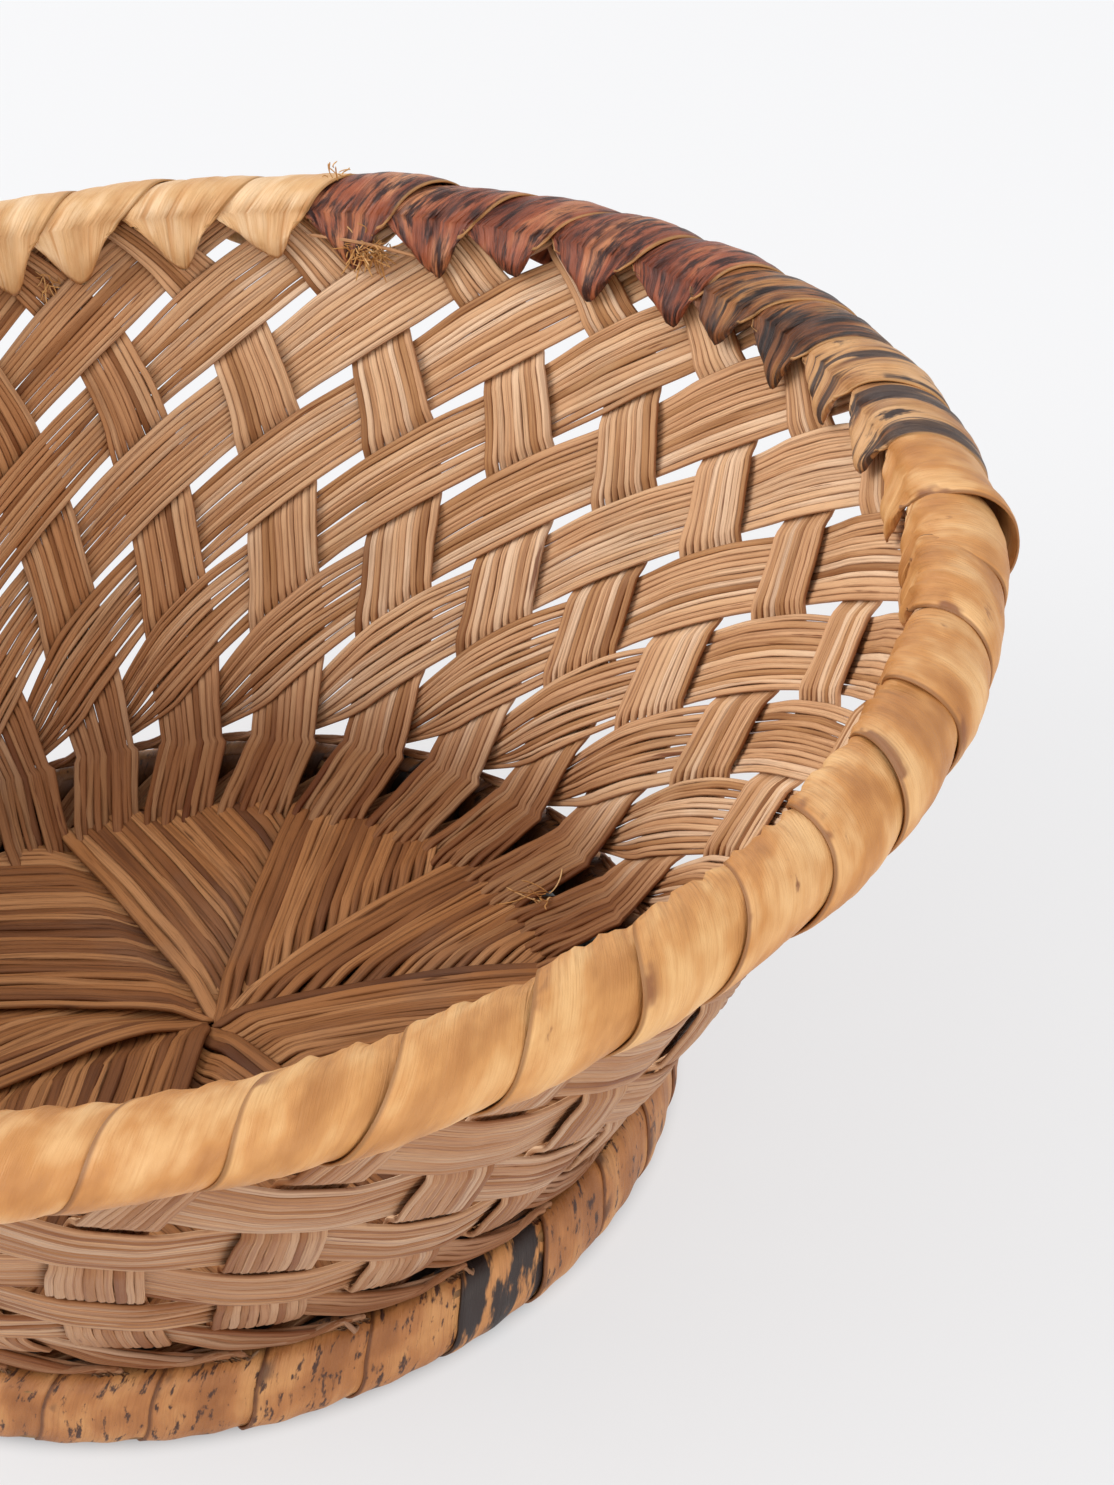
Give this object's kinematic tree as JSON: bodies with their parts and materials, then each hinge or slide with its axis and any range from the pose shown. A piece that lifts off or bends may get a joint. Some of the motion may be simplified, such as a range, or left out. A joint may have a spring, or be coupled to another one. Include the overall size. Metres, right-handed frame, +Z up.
{
  "type": "bread basket",
  "caption": "Round footed bowl basket, woven diagonally from bundles of split cane, with a bark-bound rim and foot ring.",
  "frame": {"origin": "middle of the foot ring's underside, where the basket stands", "axes": "+Z up out of the bowl; +Y points at the start of the pale half of the rim binding, +X at its striped turns"},
  "size_m": [0.3, 0.3, 0.114],
  "materials": {
    "cane_stakes": "natural split cane, dry satin, in bundles of eight to ten strands",
    "cane_weavers": "natural split cane, dry satin, in bundles of eight to ten strands",
    "cane_floor": "natural split cane, darkened with handling",
    "hoop_cane": "raw cane under the binding",
    "bark_pale": "pale straw-coloured bark strip, satin",
    "bark_dark": "dark reddish brown bark strip, satin",
    "bark_striped": "mottled tan bark strip with dark cross stripes",
    "bark_honey": "smooth honey-coloured bark strip, satin",
    "bark_tan": "orange-tan bark strip with dark specks",
    "bark_black": "near-black bark strip"
  },
  "bodies": {
    "root": {"stake_01": "cane_stakes", "stake_02": "cane_stakes", "stake_03": "cane_stakes", "stake_04": "cane_stakes", "stake_05": "cane_stakes", "stake_06": "cane_stakes", "stake_07": "cane_stakes", "stake_08": "cane_stakes", "stake_09": "cane_stakes", "stake_10": "cane_stakes", "stake_11": "cane_stakes", "stake_12": "cane_stakes", "stake_13": "cane_stakes", "stake_14": "cane_stakes", "stake_15": "cane_stakes", "stake_16": "cane_stakes", "stake_17": "cane_stakes", "stake_18": "cane_stakes", "stake_19": "cane_stakes", "stake_20": "cane_stakes", "stake_21": "cane_stakes", "stake_22": "cane_stakes", "stake_23": "cane_stakes", "stake_24": "cane_stakes", "stake_25": "cane_stakes", "stake_26": "cane_stakes", "stake_27": "cane_stakes", "stake_28": "cane_stakes", "weaver_pair_01": "cane_weavers", "weaver_pair_02": "cane_weavers", "weaver_pair_03": "cane_weavers", "weaver_pair_04": "cane_weavers", "weaver_pair_05": "cane_weavers", "weaver_pair_06": "cane_weavers", "weaver_pair_07": "cane_weavers", "weaver_pair_08": "cane_weavers", "weaver_pair_09": "cane_weavers", "weaver_pair_10": "cane_weavers", "weaver_pair_11": "cane_weavers", "weaver_pair_12": "cane_weavers", "weaver_pair_13": "cane_weavers", "weaver_pair_14": "cane_weavers", "base_arm_1": "cane_floor", "base_arm_2": "cane_floor", "base_arm_3": "cane_floor", "base_arm_4": "cane_floor", "base_arm_5": "cane_floor", "base_arm_6": "cane_floor", "base_arm_7": "cane_floor", "base_arm_8": "cane_floor", "rim_hoop_inner": "hoop_cane", "rim_hoop_outer": "hoop_cane", "rim_binding_pale": "bark_pale", "rim_binding_dark": "bark_dark", "rim_binding_striped": "bark_striped", "rim_binding_honey": "bark_honey", "foot_hoop": "hoop_cane", "foot_binding_tan": "bark_tan", "foot_binding_dark": "bark_black"}
  },
  "joints": []
}
